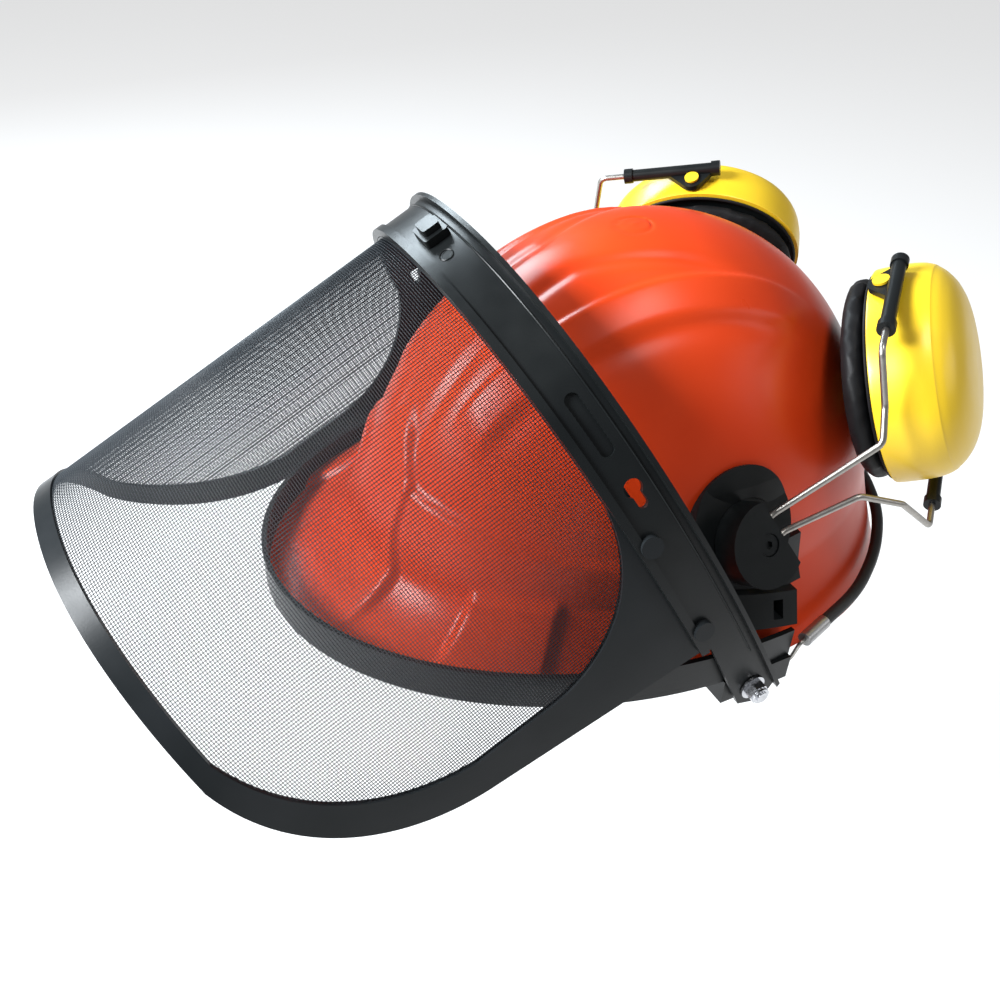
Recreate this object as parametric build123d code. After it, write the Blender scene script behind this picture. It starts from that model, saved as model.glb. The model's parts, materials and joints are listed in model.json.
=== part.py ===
from build123d import *
import os
from math import asin, atan2, cos, degrees, pi, radians, sin, sqrt, tan

# Forestry safety helmet: shell, tilting mesh visor and two swinging ear muffs.
# Millimetres. Origin: centre of the head mount, in the plane of the headband.
# +Z is up, -Y is the wearer's front and +X is the wearer's left.

# ---------------------------------------------------------------- driving dimensions
WALL = 2.6
DOME_HALF = (97.3, 126.7, 142.3)
DOME_Y = 8.7
SKIRT_Z = 24.0
DOME_LEVELS = 14
CROWN_ANGLE = radians(86)

BRIM_HALF_WIDTH = 112.0
BRIM_FRONT = 158.5
BRIM_REAR = 138.0
BRIM_Z = -5.5
BRIM_SLOPE = -0.0606
REAR_SQUARENESS = 2.3

BAND_WALL = 2.3
BAND_HEIGHT = 13.5
BAND_LIP = 4.5
BAND_END_Y = 24.0

HINGE_Y = 0.9
HINGE_Z = -10.1
VISOR_TILT = 27.9
ARCH_HALF_WIDTH = 119.0
ARCH_REACH = 181.7
ARCH_SQUARENESS = 2.176
ARCH_WALL = 2.2
ARCH_GAP = 0.25
ARCH_BACK = -10.5
ARCH_FRONT = 12.0
FLANGE_RISE = 2.8
FLANGE_T = 1.8
BEAD_RISE = 1.1
BEAD_W = 3.4
SLOT_ALONG = 1.0
SLOT_STEPS = 10
SLOT_RECESS = (130.2, 146.3, 2.8, -1.3)
KEYHOLE_SLOT = (109.5, 115.0, 1.9, -6)
KEYHOLE_EYE = (115.4, 115.5, 3.5, -6)
FRAME_WALL = 2.0
FRAME_TOP = 3.0
MESH_WALL = 0.8
VISOR_LENGTH = 177.0
RIM_WIDTH = 7.5
RIM_JOINT = 102.0
OPENING_TOP = 116.0
OPENING_BACK = 63.0
OPENING_END = 124.0
PANEL_BACK = 48.0
PANEL_END = 118.0
PANEL_BEYOND = 210.0
BOLT_R = 2.5
BOLT_HEAD_R = 4.2
STUD_R = 2.0

ARM_ORIGIN = Vector(104.0, -1.0, 48.7)
ARM_NORMAL = Vector(0.953, 0.144, 0.265)
ARM_REACH = Vector(-0.237, 0.900, 0.367)
CAP_REACH = 6.3
SWING_TILT = radians(30.0)
SWING_YAW = radians(3.0)
CAP_R = 17.0
CAP_TOP = 5.5
CAP_BOTTOM = -6.0
CAP_FLAT = 7.2
BASE_R = 23.5
BASE_SHIFT = (2.4, 6.8)
PAD_T = 1.8
PLATE_T = 4.5
BLOCK_T = 7.0
SLOT_Y = 9.5
SLOT_Z = 19.0
SLOT_LEAN = -12.0
SLOT_LONG = 34.0
SLOT_HIGH = 12.5
BARREL_X = 4.6
BARREL_R = 2.1
HINGE_PIN_R = 0.9
WIRE_R = 1.3
WIRE_EXIT = 4.5

TUBE_LEAN = radians(27.5)
TUBE_START = (83.9, 13.6)
TUBE_LENGTH = 46.0
TUBE_R = 2.8
PIVOT_HALF = 45.9
ROD_FREE = 12.0
ROD_IN_TUBE = 34.0
BUTTON_ALONG = 33.0
BUTTON_ACROSS = 5.6
BUTTON_R = 2.6
BUTTON_HEAD_R = 3.3
CUP_HALF_T = 42.0
CUP_HALF_S = 49.0
CUP_DEPTH = 34.0
CUP_WALL = 2.4
CUP_TURN = radians(3.0)
CUSHION_DEPTH = 13.0
CUSHION_WIDTH = 15.0
RUNNING_GAP = 0.05
CLEARANCE = 0.3

HEAD_HALF = (77.0, 97.0)
HEAD_Y = 4.0
HEAD_STRAP = 1.8
HEAD_LOW = -20.0
HEAD_HIGH = 8.0
NAPE_ARM_Y = 22.0
NAPE_LOW = -36.0
NAPE_HIGH = -8.0
KNOB_R = 17.0

BAND_GAP = 0.15
BAND_SOLE = 2.5
BLOCK_IN = 104.0
BLOCK_OUT = 115.3
NUT_X = ARCH_HALF_WIDTH + 1.3
CORD_R = 2.6
SLEEVE_R = 3.0
SLEEVE_LENGTH = 15.0
HOOK_R = 0.9
CORD_HALF = [
    (110.5, 44, 0.5), (102.8, 69.3, 1.5), (86.4, 95.6, 2),
    (65, 118, 2.5), (38.6, 133.5, 3), (13, 141.2, 3)]
STUD_HEAD_R = 4.2
STUD_FOOT_R = 3.4
STUD_SEAT = -3.5
SCREW_R = 2.0
SCREW_HEAD_R = 4.2
SCREW_HEAD_DEPTH = 2.6
SCREW_TIP = -10.0
BARREL_Z = -1.2
UPPER_KNEES = [(57.3, 15.0, 23.0), (66.5, 25.0, 20.0)]
LOWER_KNEES = [(46.0, 5.0, 15.5), (60.0, 20.0, 21.5)]
COLLAR_R = 3.5
LUG_R = 5.4
CUP_FOOT = -6.0
HOUSING_Y = 110.0
KEY_X = 60.6
KEY_Y = 78.0
KEY_TOP = 26.0
CROWN_Y = 6.4
CROWN_Z = 104.0
STRAP_T = 1.2
STRAP_W = 20.0

os.makedirs("parts", exist_ok=True)


def save(name, shape):
    """Write one node to its STEP file."""
    export_step(shape, "parts/" + name + ".step")


def box(x0, x1, y0, y1, z0, z1):
    """A box between two corners."""
    centre = Pos((x0 + x1) / 2, (y0 + y1) / 2, (z0 + z1) / 2)
    return centre * Box(x1 - x0, y1 - y0, z1 - z0)


def rod(radius, start, end):
    """A cylinder between two points."""
    start = Vector(*start)
    end = Vector(*end)
    plane = Plane(origin=start, z_dir=end - start)
    return extrude(plane * Circle(radius), (end - start).length)


def group(solids):
    """Several separate solids in one node."""
    return Compound(children=list(solids))


def only_solid(shape):
    """The largest solid of a result."""
    return max(shape.solids(), key=lambda item: item.volume)


def to_right(shape):
    """The mirror image on the wearer's right."""
    return mirror(shape, about=Plane.YZ)


def save_pair(name, shape):
    """Write a left piece and its mirror image."""
    save("left_" + name, shape)
    save("right_" + name, to_right(shape))


# ---------------------------------------------------------------- shell
def brim_z(y):
    """Height of the brim's lower edge."""
    return BRIM_Z + BRIM_SLOPE * y


def brim_point(angle, grow=0.0, lift=0.0):
    """A point of the brim outline: elliptical in front, squarer behind."""
    c, s = cos(angle), sin(angle)
    power = 1.0 if s < 0 else 2 / REAR_SQUARENESS
    reach = BRIM_FRONT if s < 0 else BRIM_REAR
    x = (BRIM_HALF_WIDTH + grow) * abs(c) ** power * (1 if c >= 0 else -1)
    y = (reach + grow) * abs(s) ** power * (1 if s >= 0 else -1)
    return Vector(x, y, brim_z(y) + lift)


def dome_point(angle, z, grow=0.0):
    """A point of the dome's level section."""
    shrink = sqrt(1 - (z / (DOME_HALF[2] + grow)) ** 2)
    x = (DOME_HALF[0] + grow) * shrink * cos(angle)
    y = DOME_Y + (DOME_HALF[1] + grow) * shrink * sin(angle)
    return Vector(x, y, z)


def ring_wire(point, count=32):
    """A closed smooth wire through points of a formula."""
    angles = [2 * pi * (i + 0.5) / count for i in range(count)]
    return Wire([Edge.make_spline([point(a) for a in angles], periodic=True)])


def hull(grow, drop):
    """The helmet's filled outer form, grown sideways and lowered by drop."""
    foot = ring_wire(lambda a: brim_point(a, grow, -drop))
    low = asin((SKIRT_Z - drop) / (DOME_HALF[2] + grow))
    rings = [foot]
    for step in range(DOME_LEVELS):
        level = low + (CROWN_ANGLE - low) * step / (DOME_LEVELS - 1)
        z = (DOME_HALF[2] + grow) * sin(level)
        rings.append(ring_wire(lambda a: dome_point(a, z, grow)))
    return Solid.make_loft(rings, ruled=True)


def helmet_shell():
    """The moulded shell: dome, flared skirt and peak."""
    return only_solid(hull(0, 0) - hull(-WALL, WALL))


def edge_band():
    """The black carrier that grips the brim from temple to temple."""
    outer = Face(ring_wire(lambda a: brim_point(a, BAND_WALL)))
    inner = Face(ring_wire(lambda a: brim_point(a, BAND_GAP)))
    lip = Face(ring_wire(lambda a: brim_point(a, -BAND_LIP)))
    fence = Solid.extrude(outer, Vector(0, 0, BAND_HEIGHT))
    fence = fence - Solid.extrude(inner, Vector(0, 0, BAND_HEIGHT))
    sole = Solid.extrude(outer, Vector(0, 0, -BAND_SOLE))
    sole = sole - Solid.extrude(lip, Vector(0, 0, -BAND_SOLE))
    gap = Pos(0, 0, -BAND_GAP)
    band = fence + gap * fence + gap * sole
    band = band & box(-130, 130, -170, BAND_END_Y, -40, 40)
    for side in (-1, 1):
        band = band + end_block(side)
        axle = rod(BOLT_R, (side * 90, HINGE_Y, HINGE_Z), (side * 130, HINGE_Y, HINGE_Z))
        band = band - axle
    return only_solid(band)


def end_block(side):
    """The thick end of the band that carries the visor's hinge bolt."""
    top = brim_z(BAND_END_Y) - BAND_GAP - 0.1
    block = box(BLOCK_IN, BLOCK_OUT, HINGE_Y - 11, BAND_END_Y, HINGE_Z - 9, top)
    if side < 0:
        block = to_right(block)
    return block


def hinge_bolt():
    """The visor's hinge bolt, head inside the brim and thread outside."""
    y, z = HINGE_Y, HINGE_Z
    head = rod(BOLT_HEAD_R, (BLOCK_IN - 3.2, y, z), (BLOCK_IN, y, z))
    shank = rod(BOLT_R, (BLOCK_IN, y, z), (NUT_X + 6.0, y, z))
    return head + shank


def hinge_washer():
    """The flat washer under the lock nut."""
    ring = rod(5.6, (NUT_X - 1.0, HINGE_Y, HINGE_Z), (NUT_X, HINGE_Y, HINGE_Z))
    return ring - rod(BOLT_R, (NUT_X - 2, HINGE_Y, HINGE_Z), (NUT_X + 2, HINGE_Y, HINGE_Z))


def hinge_nut():
    """The hexagonal lock nut with its rounded collar."""
    plane = Plane(origin=(NUT_X, HINGE_Y, HINGE_Z), x_dir=(0, 1, 0), z_dir=(1, 0, 0))
    nut = extrude(plane * RegularPolygon(4.6, 6), 4.0)
    nut = nut + rod(3.7, (NUT_X + 4.0, HINGE_Y, HINGE_Z), (NUT_X + 5.2, HINGE_Y, HINGE_Z))
    return nut - rod(BOLT_R, (NUT_X - 1, HINGE_Y, HINGE_Z), (NUT_X + 8, HINGE_Y, HINGE_Z))


# ---------------------------------------------------------------- rear elastic
def elastic_cord():
    """The elastic tube that runs round the back in the groove above the brim."""
    corners = [Vector(x, y, z) for x, y, z in CORD_HALF]
    corners = corners + [Vector(-x, y, z) for x, y, z in reversed(CORD_HALF)]
    radii = cord_radii(corners)
    path = FilletPolyline(*corners, radius=radii)
    start = Plane(origin=corners[0], z_dir=corners[1] - corners[0])
    tube = sweep(start * Circle(CORD_R), path=path)
    expected = pi * CORD_R ** 2 * path.length
    print("cord length", round(path.length, 1), "radii", [round(r, 1) for r in radii])
    print("cord volume", round(tube.volume, 1), "expected", round(expected, 1))
    return only_solid(tube)


def cord_radii(corners):
    """The largest arc that fits each corner of a cord's route."""
    radii = []
    for before, here, after in zip(corners, corners[1:], corners[2:]):
        first, second = here - before, after - here
        turn = radians(first.get_angle(second))
        shorter = min(first.length, second.length)
        radii.append(0.45 * shorter / tan(turn / 2))
    return radii


def crimp_sleeve():
    """The grey sleeve crimped on the end of the elastic."""
    end = Vector(*CORD_HALF[0])
    inward = (Vector(*CORD_HALF[1]) - end).normalized()
    front = end - inward * SLEEVE_LENGTH
    return rod(SLEEVE_R, front, end)


def band_hook():
    """The wire hook from the sleeve to the eye in the band's end block."""
    end = Vector(*CORD_HALF[0])
    inward = (Vector(*CORD_HALF[1]) - end).normalized()
    front = end - inward * SLEEVE_LENGTH
    eye = Vector(BLOCK_OUT - 2.8, BAND_END_Y, HINGE_Z - 2.0)
    bend = eye + Vector(0, 3.2, 0)
    path = FilletPolyline(eye, bend, front - inward * 3.5, front, radius=1.4)
    start = Plane(origin=eye, z_dir=bend - eye)
    return only_solid(sweep(start * Circle(HOOK_R), path=path))


# ---------------------------------------------------------------- visor
VISOR_GUIDE = Vector(0, -cos(radians(VISOR_TILT)), -sin(radians(VISOR_TILT)))
VISOR_PLANE = Plane(origin=(0, HINGE_Y, HINGE_Z), x_dir=(1, 0, 0), z_dir=VISOR_GUIDE)


def arch_point(angle, grow):
    """A point of the arch's outline, a superellipse."""
    power = 2 / ARCH_SQUARENESS
    c, s = cos(angle), sin(angle)
    x = (ARCH_HALF_WIDTH + grow) * abs(c) ** power * (1 if c >= 0 else -1)
    return Vector(x, (ARCH_REACH + grow) * abs(s) ** power)


def arch_normal(angle):
    """The outward direction of the arch's outline."""
    power = 2 - 2 / ARCH_SQUARENESS
    c, s = cos(angle), sin(angle)
    x = abs(c) ** power / ARCH_HALF_WIDTH * (1 if c >= 0 else -1)
    return Vector(x, abs(s) ** power / ARCH_REACH).normalized()


def arch_angle(reach):
    """The outline angle at a given reach from the hinge."""
    return asin((reach / ARCH_REACH) ** (ARCH_SQUARENESS / 2))


def arch_layer(outer, inner, low, high, foot=-11.0, count=16):
    """A layer of the arch between two outlines, along the visor's length."""
    edges = []
    for grow in (outer, inner):
        points = [arch_point(pi * i / count, grow) for i in range(count + 1)]
        ends = (Vector(0, 1), Vector(0, -1))
        edges.append(Spline(*points, tangents=ends))
    half_out = ARCH_HALF_WIDTH + outer
    half_in = ARCH_HALF_WIDTH + inner
    edges.append(Polyline((half_out, 0), (half_out, foot), (half_in, foot), (half_in, 0)))
    edges.append(Polyline((-half_out, 0), (-half_out, foot), (-half_in, foot), (-half_in, 0)))
    face = make_face(Curve() + edges)
    layer = VISOR_PLANE * Pos(0, 0, low) * extrude(face, high - low)
    return only_solid(layer)


def side_view(outline):
    """A prism across the visor, from an outline of reach and length."""
    plane = Plane(origin=VISOR_PLANE.origin, x_dir=VISOR_PLANE.y_dir, z_dir=(1, 0, 0))
    face = make_face(plane * outline)
    return extrude(face, 140, both=True)


def visor_opening():
    """The outline of the mesh in side view."""
    back, far, end = OPENING_BACK, PANEL_BEYOND, VISOR_LENGTH - RIM_WIDTH
    return Curve() + [
        Line((far, ARCH_FRONT), (OPENING_TOP, ARCH_FRONT)),
        ThreePointArc((OPENING_TOP, ARCH_FRONT), (77.5, 31), (back, 74)),
        Line((back, 74), (back, RIM_JOINT)),
        ThreePointArc((back, RIM_JOINT), (80.5, 142), (OPENING_END, end)),
        Line((OPENING_END, end), (far, end)),
        Line((far, end), (far, ARCH_FRONT)),
    ]


def visor_outline():
    """The outline of the mesh, its panels and its rim in side view."""
    back, far, end = PANEL_BACK, PANEL_BEYOND, VISOR_LENGTH
    return Curve() + [
        Line((back - 12, FRAME_TOP), (back, RIM_JOINT)),
        ThreePointArc((back, RIM_JOINT), (68, 149), (PANEL_END, end)),
        Line((PANEL_END, end), (far, end)),
        Line((far, end), (far, FRAME_TOP)),
        Line((far, FRAME_TOP), (back - 12, FRAME_TOP)),
    ]


def stud_places():
    """Outline angle and position along the visor of each mesh stud."""
    places = []
    for reach, along in ((95.4, 7.0), (50.7, 6.8)):
        angle = arch_angle(reach)
        places.append((angle, along))
        places.append((pi - angle, along))
    return places


def through_arch(angle, along, radius, inner, outer):
    """A round rod square to the arch at a place on it."""
    foot = arch_point(angle, 0)
    out = arch_normal(angle)
    ends = []
    for depth in (inner, outer):
        spot = foot + out * depth
        ends.append(VISOR_PLANE.from_local_coords(Vector(spot.X, spot.Y, along)))
    return rod(radius, ends[0], ends[1])


def visor_arch():
    """The black brow arch: band, rear flange, front bead, legs and holes."""
    band = arch_layer(0, -ARCH_WALL, ARCH_BACK, ARCH_FRONT)
    flange = arch_layer(FLANGE_RISE, 0, ARCH_BACK, ARCH_BACK + FLANGE_T)
    bead = arch_layer(BEAD_RISE, 0, ARCH_FRONT - BEAD_W, ARCH_FRONT)
    leg_cut = Polyline(
        (-20, 30), (-20, ARCH_BACK - 4), (-5.5, ARCH_BACK - 4), (-11, ARCH_BACK + 5),
        (-11, 2), (-5, 8.5), (38, 7.5), (44, 30), close=True)
    arch = band + flange + bead - side_view(leg_cut)
    for side in (-1, 1):
        start = (side * 110, HINGE_Y, HINGE_Z)
        arch = arch - rod(BOLT_R + RUNNING_GAP, start, (side * 130, HINGE_Y, HINGE_Z))
    for first, last, radius, floor in (SLOT_RECESS, KEYHOLE_SLOT, KEYHOLE_EYE):
        for step in range(SLOT_STEPS + 1):
            angle = arch_angle(first + (last - first) * step / SLOT_STEPS)
            arch = arch - through_arch(angle, SLOT_ALONG, radius, floor, 6)
            arch = arch - through_arch(pi - angle, SLOT_ALONG, radius, floor, 6)
    for angle, along in stud_places():
        arch = arch - through_arch(angle, along, STUD_R, -8, 6)
        arch = arch - through_arch(angle, along, STUD_HEAD_R, 0, 6)
    return only_solid(arch)


def panel_layer():
    """The moulded frame around the mesh, before it is split."""
    outer = -ARCH_WALL - ARCH_GAP
    layer = arch_layer(outer, outer - FRAME_WALL, FRAME_TOP, VISOR_LENGTH)
    return (layer & side_view(visor_outline())) - side_view(visor_opening())


def visor_frame():
    """The side panels and upper strip that hold the mesh under the arch."""
    frame = panel_layer() & visor_slab(FRAME_TOP - 1, RIM_JOINT)
    for angle, along in stud_places():
        frame = frame - through_arch(angle, along, STUD_R, -8, 6)
        frame = frame - through_arch(angle, along, STUD_FOOT_R + 0.1, -8, STUD_SEAT + 0.05)
    return only_solid(frame)


def rim_trim():
    """The edge trim round the visor's lower edge."""
    return only_solid(panel_layer() & visor_slab(RIM_JOINT, VISOR_LENGTH + 1))


def visor_slab(low, high):
    """A slab across the visor between two positions along it."""
    return VISOR_PLANE * box(-140, 140, -40, 210, low, high)


def visor_mesh():
    """The curved woven mesh as a thin sheet."""
    outer = -ARCH_WALL - ARCH_GAP - (FRAME_WALL - MESH_WALL) / 2
    layer = arch_layer(outer, outer - MESH_WALL, FRAME_TOP, VISOR_LENGTH)
    return only_solid(layer & side_view(visor_opening()))


def mesh_studs():
    """The push studs that pin the frame to the arch."""
    studs = []
    for angle, along in stud_places():
        stud = through_arch(angle, along, STUD_R, STUD_SEAT, 0.5)
        stud = stud + through_arch(angle, along, STUD_HEAD_R, 0, 2.4)
        stud = stud + through_arch(angle, along, STUD_FOOT_R, STUD_SEAT - 0.9, STUD_SEAT)
        studs.append(only_solid(stud))
    return group(studs)


def top_clip():
    """The square clip at the top of the arch."""
    top = ARCH_REACH + 0.05
    foot = fillet(box(-6.2, 6.2, top, top + 3.2, -4.5, 5.5).edges().filter_by(Axis.Y), 1.2)
    clip = foot + fillet(box(-4.0, 4.0, top, top + 5.8, -3.0, 4.0).edges().filter_by(Axis.Y), 1.0)
    return VISOR_PLANE * clip


# ---------------------------------------------------------------- ear arms, left side
ARM_PLANE = Plane(origin=ARM_ORIGIN, x_dir=ARM_REACH, z_dir=ARM_NORMAL)
SWING_AXIS = Vector(cos(SWING_TILT) * cos(SWING_YAW), cos(SWING_TILT) * sin(SWING_YAW), sin(SWING_TILT))
CAP_PLANE = Plane(
    origin=ARM_PLANE.from_local_coords(Vector(CAP_REACH, 0, 0)),
    x_dir=ARM_PLANE.x_dir - SWING_AXIS * ARM_PLANE.x_dir.dot(SWING_AXIS),
    z_dir=SWING_AXIS)
TUBE_DIR = Vector(cos(TUBE_LEAN), 0, -sin(TUBE_LEAN))
CUSHION_SIDE = Vector(-sin(TUBE_LEAN), 0, -cos(TUBE_LEAN))
PIVOT = Vector(TUBE_START[0], 0, TUBE_START[1]) + TUBE_DIR * BUTTON_ALONG + CUSHION_SIDE * BUTTON_ACROSS
CUP_ANGLE = TUBE_LEAN + CUP_TURN
CUP_NORMAL = Vector(sin(CUP_ANGLE), 0, cos(CUP_ANGLE))
CUP_PLANE = Plane(
    origin=ARM_PLANE.from_local_coords(PIVOT),
    x_dir=ARM_PLANE.from_local_coords(PIVOT + Vector(cos(CUP_ANGLE), 0, -sin(CUP_ANGLE)))
    - ARM_PLANE.from_local_coords(PIVOT),
    z_dir=ARM_PLANE.from_local_coords(PIVOT + CUP_NORMAL) - ARM_PLANE.from_local_coords(PIVOT))


def arm_rod(radius, start, end):
    """A rod between two points given in the arm's own frame."""
    return rod(radius, ARM_PLANE.from_local_coords(start), ARM_PLANE.from_local_coords(end))


def adapter_base():
    """The adapter fixed to the shell: turntable disc, flange and slot block."""
    x, y = BASE_SHIFT
    disc = CAP_PLANE * Pos(x, y, (CAP_BOTTOM - CLEARANCE - 40) / 2)
    disc = disc * Cylinder(BASE_R, 40 + CAP_BOTTOM - CLEARANCE)
    pad = hull(PAD_T, -PAD_T) & CAP_PLANE * Pos(x, y) * Cylinder(BASE_R, 40)
    pad = pad - CAP_PLANE * Pos(0, 0, CAP_BOTTOM - CLEARANCE + 20) * Cylinder(CAP_R + 0.5, 40)
    plate = hull(PLATE_T, -PLATE_T) & box(60, 130, -10, 33, 22, 42)
    place = Pos(100, SLOT_Y, SLOT_Z) * Rot(SLOT_LEAN, 0, 0)
    block = hull(BLOCK_T, -BLOCK_T) & place * Box(60, SLOT_LONG, SLOT_HIGH)
    base = disc + pad + plate + block - hull(CLEARANCE, -CLEARANCE)
    base = base - place * Pos(0, SLOT_LONG / 5) * Box(80, 5, 7)
    base = base - CAP_PLANE * Pos(0, 0, -10) * Cylinder(SCREW_R, 30)
    return only_solid(base)


def adapter_cap():
    """The turning cap with its flat mouth, hinge cavity and screw recess."""
    height = CAP_TOP - CAP_BOTTOM
    cap = Pos(0, 0, (CAP_TOP + CAP_BOTTOM) / 2) * Cylinder(CAP_R, height)
    cap = cap - box(CAP_FLAT, 30, -30, 30, -20, 20)
    cap = cap - box(2.3, 30, -9.5, 9.5, -3.6, 3.4)
    cap = cap - Cylinder(SCREW_R + 0.6, 30)
    cap = cap - Pos(0, 0, CAP_TOP) * Cylinder(SCREW_HEAD_R + 0.3, 2 * SCREW_HEAD_DEPTH)
    cap = cap - Pos(BARREL_X, 0, BARREL_Z) * Rot(90, 0, 0) * Cylinder(HINGE_PIN_R, 24)
    return only_solid(CAP_PLANE * cap)


def cap_screw():
    """The round-headed screw through the cap into the base."""
    seat = CAP_TOP - SCREW_HEAD_DEPTH + 0.1
    screw = rod(SCREW_R, (0, 0, SCREW_TIP), (0, 0, seat)) + rod(SCREW_HEAD_R, (0, 0, seat), (0, 0, seat + 2))
    socket = Pos(0, 0, seat + 0.8) * extrude(RegularPolygon(1.7, 6), 2)
    return only_solid(CAP_PLANE * (screw - socket))


def yoke_hinge_pin():
    """The steel pin in the cap that the yoke tips on."""
    pin = Pos(BARREL_X, 0, BARREL_Z) * Rot(90, 0, 0) * Cylinder(HINGE_PIN_R, 23)
    return CAP_PLANE * pin


def wire_solid(corners, radii):
    """A bent round wire through corners."""
    path = FilletPolyline(*corners, radius=radii)
    start = Plane(origin=corners[0], z_dir=corners[1] - corners[0])
    return only_solid(sweep(start * Circle(WIRE_R), path=path))


def yoke_wire(side):
    """One leg of the yoke, from the hinge barrel to its straight sliding end."""
    upper = side > 0
    tube = Vector(TUBE_START[0], PIVOT_HALF, TUBE_START[1])
    knees = UPPER_KNEES if upper else LOWER_KNEES
    in_cap = [(BARREL_X + 1.15, WIRE_EXIT, BARREL_Z), (BARREL_X + 7.5, WIRE_EXIT, BARREL_Z + 0.6)]
    corners = [CAP_PLANE.from_local_coords(Vector(x, side * y, z)) for x, y, z in in_cap]
    in_arm = [Vector(*knee) for knee in knees]
    in_arm.append(tube - TUBE_DIR * ROD_FREE)
    in_arm.append(tube + TUBE_DIR * ROD_IN_TUBE)
    for point in in_arm:
        corners.append(ARM_PLANE.from_local_coords(Vector(point.X, side * point.Y, point.Z)))
    return wire_solid(corners, [6.0, 5.0, 5.0, 4.0])


def yoke_barrel(wires):
    """The barrel that joins both wires and turns on the hinge pin."""
    barrel = Pos(BARREL_X, 0, BARREL_Z) * Rot(90, 0, 0) * Cylinder(BARREL_R, 18)
    bore = Pos(BARREL_X, 0, BARREL_Z) * Rot(90, 0, 0) * Cylinder(HINGE_PIN_R + RUNNING_GAP, 24)
    barrel = CAP_PLANE * (barrel - bore)
    for wire in wires:
        barrel = barrel - wire
    return only_solid(barrel)


def slider(side):
    """One plastic slide tube with its collars and teardrop lug."""
    tube = rod(TUBE_R, (0, 0, 0), (TUBE_LENGTH, 0, 0))
    tube = tube + rod(COLLAR_R, (0, 0, 0), (4, 0, 0))
    tube = tube + rod(COLLAR_R, (TUBE_LENGTH - 4, 0, 0), (TUBE_LENGTH, 0, 0))
    along, across = BUTTON_ALONG, BUTTON_ACROSS
    flat = make_hull((Pos(along, across) * Circle(LUG_R)).edges() + Line((20, 0), (44, 0)).edges())
    lug = Pos(0, 0, -2.6) * extrude(flat, 2.4)
    body = tube + lug - rod(WIRE_R + RUNNING_GAP, (-1, 0, 0), (ROD_IN_TUBE + 9.5, 0, 0))
    body = body - rod(BUTTON_R + RUNNING_GAP, (along, across, -5), (along, across, 5))
    body = body - rod(BUTTON_HEAD_R + CLEARANCE, (along, across, -0.1), (along, across, 5))
    place = Plane(
        origin=ARM_PLANE.from_local_coords(Vector(TUBE_START[0], PIVOT_HALF, TUBE_START[1])),
        x_dir=ARM_PLANE.from_local_coords(TUBE_DIR) - ARM_PLANE.origin,
        z_dir=ARM_PLANE.y_dir)
    body = only_solid(place * body)
    if side < 0:
        body = mirror(body, about=Plane(origin=ARM_PLANE.origin, z_dir=ARM_PLANE.y_dir))
    return body


def cup_form(sections):
    """A form lofted through ellipses given as half height, half width and level."""
    wires = []
    for half_s, half_t, level in sections:
        wires.append((Pos(0, 0, level) * Ellipse(half_s, half_t)).wire())
    return Solid.make_loft(wires, ruled=True)


def cup_outline(grow, drop, foot):
    """The ear cup's outer form, shrunk and lowered for its inside."""
    s, t, top = CUP_HALF_S + grow, CUP_HALF_T + grow, CUP_DEPTH + foot + drop
    sections = [(s, t, foot), (s, t, top - 20), (s - 3, t - 3, top - 10)]
    sections = sections + [(s - 10, t - 9, top - 3), (s - 24, t - 20, top)]
    return cup_form(sections)


def cup_shell():
    """The yellow ear cup, open towards the head."""
    inner = cup_outline(-CUP_WALL, -CUP_WALL, CUP_FOOT)
    mouth = Ellipse(CUP_HALF_S - CUP_WALL, CUP_HALF_T - CUP_WALL)
    inner = inner + Pos(0, 0, CUP_FOOT - 1) * extrude(mouth, 2)
    return only_solid(CUP_PLANE * (cup_outline(0, 0, CUP_FOOT) - inner))


def cup_back_plate():
    """The black plate that closes the cup and carries the cushion."""
    half = (CUP_HALF_S - CUP_WALL - 0.1, CUP_HALF_T - CUP_WALL - 0.1)
    plate = extrude(Ellipse(*half), 2.5) - extrude(Ellipse(30, 23), 2.5)
    return CUP_PLANE * Pos(0, 0, CUP_FOOT) * plate


def cup_foam():
    """The acoustic foam inside the cup."""
    return CUP_PLANE * Pos(0, 0, 6) * extrude(Ellipse(39, 33), 11)


def ear_cushion():
    """The soft ring that seals against the head."""
    s, t, foot = CUP_HALF_S - 1, CUP_HALF_T - 1, CUP_FOOT - CLEARANCE
    face = foot - CUSHION_DEPTH
    sections = [(s - 3, t - 3, face), (s, t, face + 4), (s + 0.5, t + 0.5, foot - 3), (s - 1, t - 1, foot)]
    hole = Pos(0, 0, face - 1) * extrude(Ellipse(s - CUSHION_WIDTH - 5, t - CUSHION_WIDTH - 5), 30)
    return only_solid(CUP_PLANE * (cup_form(sections) - hole))


def pivot_buttons():
    """The two yellow snap buttons that the cup tips on."""
    low, high = CUP_HALF_T + 0.05, PIVOT_HALF + 0.2
    buttons = []
    for side in (-1, 1):
        shank = rod(BUTTON_R, (0, side * low, 0), (0, side * high, 0))
        head = rod(BUTTON_HEAD_R, (0, side * high, 0), (0, side * (high + 1.0), 0))
        buttons.append(CUP_PLANE * only_solid(shank + head))
    return group(buttons)


# ---------------------------------------------------------------- harness
def strap_outline(half_width, reach, back, front=True):
    """A filled U: half an ellipse with straight arms."""
    middle = back / 2
    side = -1 if front else 1
    bow = Ellipse(half_width, reach) & (Pos(0, side * 200) * Rectangle(400, 400))
    return bow + Pos(0, middle) * Rectangle(2 * half_width, abs(back))


def headband():
    """The front strap of the harness, open at the back."""
    x, y = HEAD_HALF
    face = strap_outline(x, y, 56) - strap_outline(x - HEAD_STRAP, y - HEAD_STRAP, 57)
    return only_solid(Pos(0, HEAD_Y, HEAD_LOW) * extrude(face, HEAD_HIGH - HEAD_LOW))


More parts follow.
